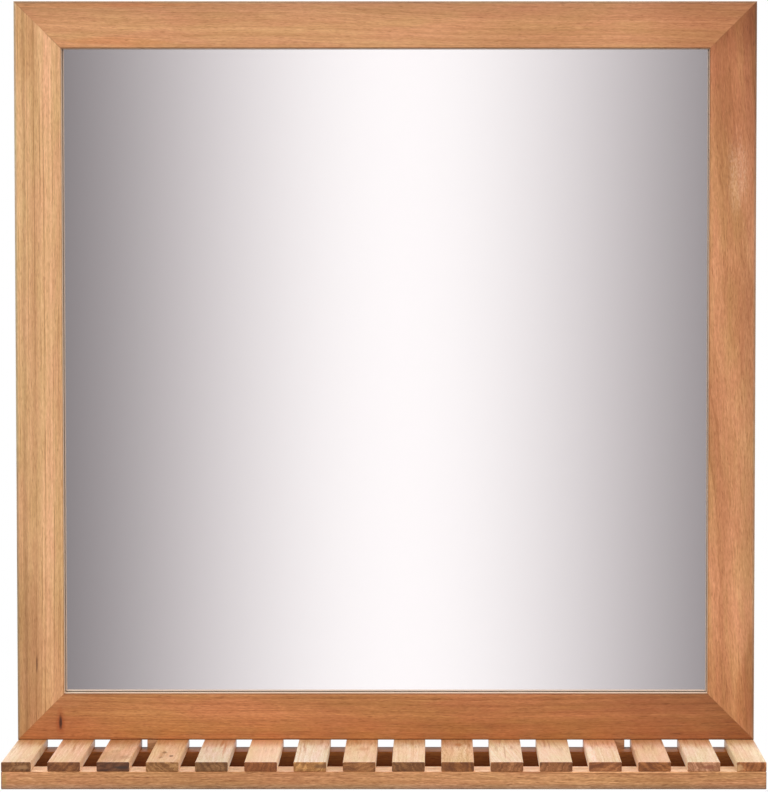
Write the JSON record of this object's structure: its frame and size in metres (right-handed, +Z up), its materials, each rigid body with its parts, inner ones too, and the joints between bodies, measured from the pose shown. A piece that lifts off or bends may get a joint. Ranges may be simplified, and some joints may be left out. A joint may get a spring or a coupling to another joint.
{
  "type": "wall mirror with shelf",
  "caption": "Square wall mirror in a mitred wooden frame, with a shelf of wooden slats on two rails under it, hung on keyhole plates.",
  "frame": {"origin": "in the wall plane, midway between the round entries of the two keyhole hangers", "axes": "+X to the right of someone who looks into the mirror, +Y into the wall, +Z up"},
  "size_m": [0.6, 0.12, 0.6215],
  "materials": {
    "wood_frame_top": "oiled hardwood, warm mid brown, straight fine grain",
    "wood_frame_bottom": "oiled hardwood, reddish brown, straight fine grain",
    "wood_frame_left": "oiled hardwood, pale honey, straight fine grain",
    "wood_frame_right": "oiled hardwood, russet, straight fine grain",
    "wood_tongue": "bare hardwood",
    "wood_shelf_front": "oiled hardwood, wavy grain",
    "wood_shelf_back": "oiled hardwood, wavy grain",
    "wood_spacer": "oiled hardwood block",
    "wood_slat_left_1": "oiled hardwood slat, pale, sawn end grain",
    "wood_slat_left_2": "oiled hardwood slat, pale, sawn end grain",
    "wood_slat_left_3": "oiled hardwood slat, pale, sawn end grain",
    "wood_slat_left_4": "oiled hardwood slat, pale, sawn end grain",
    "wood_slat_left_5": "oiled hardwood slat, pale, sawn end grain",
    "wood_slat_left_6": "oiled hardwood slat, pale, sawn end grain",
    "wood_slat_left_7": "oiled hardwood slat, pale, sawn end grain",
    "wood_slat_left_8": "oiled hardwood slat, pale, sawn end grain",
    "wood_slat_right_8": "oiled hardwood slat, pale, sawn end grain",
    "wood_slat_right_7": "oiled hardwood slat, pale, sawn end grain",
    "wood_slat_right_6": "oiled hardwood slat, pale, sawn end grain",
    "wood_slat_right_5": "oiled hardwood slat, pale, sawn end grain",
    "wood_slat_right_4": "oiled hardwood slat, pale, sawn end grain",
    "wood_slat_right_3": "oiled hardwood slat, pale, sawn end grain",
    "wood_slat_right_2": "oiled hardwood slat, pale, sawn end grain",
    "wood_slat_right_1": "oiled hardwood slat, pale, sawn end grain",
    "clear_glass": "clear float glass",
    "silver_coat": "silvered",
    "hardboard": "brown hardboard, fine fibre",
    "button_brass": "brushed brass",
    "screw_brass": "brass, cross recess",
    "plate_steel": "zinc plated, brushed",
    "screw_steel": "zinc plated, cross recess"
  },
  "bodies": {
    "root": {"frame_top_rail": "wood_frame_top", "frame_bottom_rail": "wood_frame_bottom", "frame_left_stile": "wood_frame_left", "frame_right_stile": "wood_frame_right", "mitre_tongue_top_left": "wood_tongue", "mitre_tongue_top_right": "wood_tongue", "mitre_tongue_bottom_left": "wood_tongue", "mitre_tongue_bottom_right": "wood_tongue", "mirror_glass": "clear_glass", "mirror_silvering": "silver_coat", "backing_board": "hardboard", "turn_button_screws": "screw_brass", "hanger_plate_left": "plate_steel", "hanger_plate_right": "plate_steel", "hanger_plate_screws": "screw_steel", "shelf_front_rail": "wood_shelf_front", "shelf_back_rail": "wood_shelf_back", "slat_left_1": "wood_slat_left_1", "slat_left_2": "wood_slat_left_2", "slat_left_3": "wood_slat_left_3", "slat_left_4": "wood_slat_left_4", "slat_left_5": "wood_slat_left_5", "slat_left_6": "wood_slat_left_6", "slat_left_7": "wood_slat_left_7", "slat_left_8": "wood_slat_left_8", "slat_right_8": "wood_slat_right_8", "slat_right_7": "wood_slat_right_7", "slat_right_6": "wood_slat_right_6", "slat_right_5": "wood_slat_right_5", "slat_right_4": "wood_slat_right_4", "slat_right_3": "wood_slat_right_3", "slat_right_2": "wood_slat_right_2", "slat_right_1": "wood_slat_right_1", "front_slat_screws": "screw_steel", "back_slat_screws": "screw_steel", "spacer_block_left": "wood_spacer", "spacer_block_right": "wood_spacer", "frame_fixing_screws": "screw_steel"},
    "turn_button_left_upper": {"turn_button_left_upper": "button_brass"},
    "turn_button_left_lower": {"turn_button_left_lower": "button_brass"},
    "turn_button_right_upper": {"turn_button_right_upper": "button_brass"},
    "turn_button_right_lower": {"turn_button_right_lower": "button_brass"},
    "turn_button_top_left": {"turn_button_top_left": "button_brass"},
    "turn_button_top_right": {"turn_button_top_right": "button_brass"},
    "turn_button_bottom_left": {"turn_button_bottom_left": "button_brass"},
    "turn_button_bottom_right": {"turn_button_bottom_right": "button_brass"}
  },
  "joints": [
    {"name": "button_left_upper_turn", "type": "hinge", "parent": "root", "child": "turn_button_left_upper", "pos_m": [-0.275, -0.0043, -0.08], "axis": [0, 1, 0], "range_deg": [-90, 90]},
    {"name": "button_left_lower_turn", "type": "hinge", "parent": "root", "child": "turn_button_left_lower", "pos_m": [-0.275, -0.0043, -0.4], "axis": [0, 1, 0], "range_deg": [-90, 90]},
    {"name": "button_right_upper_turn", "type": "hinge", "parent": "root", "child": "turn_button_right_upper", "pos_m": [0.275, -0.0043, -0.08], "axis": [0, 1, 0], "range_deg": [-90, 90]},
    {"name": "button_right_lower_turn", "type": "hinge", "parent": "root", "child": "turn_button_right_lower", "pos_m": [0.275, -0.0043, -0.4], "axis": [0, 1, 0], "range_deg": [-90, 90]},
    {"name": "button_top_left_turn", "type": "hinge", "parent": "root", "child": "turn_button_top_left", "pos_m": [-0.16, -0.0043, 0.035], "axis": [0, 1, 0], "range_deg": [-90, 90]},
    {"name": "button_top_right_turn", "type": "hinge", "parent": "root", "child": "turn_button_top_right", "pos_m": [0.16, -0.0043, 0.035], "axis": [0, 1, 0], "range_deg": [-90, 90]},
    {"name": "button_bottom_left_turn", "type": "hinge", "parent": "root", "child": "turn_button_bottom_left", "pos_m": [-0.16, -0.0043, -0.515], "axis": [0, 1, 0], "range_deg": [-90, 90]},
    {"name": "button_bottom_right_turn", "type": "hinge", "parent": "root", "child": "turn_button_bottom_right", "pos_m": [0.16, -0.0043, -0.515], "axis": [0, 1, 0], "range_deg": [-90, 90]}
  ]
}
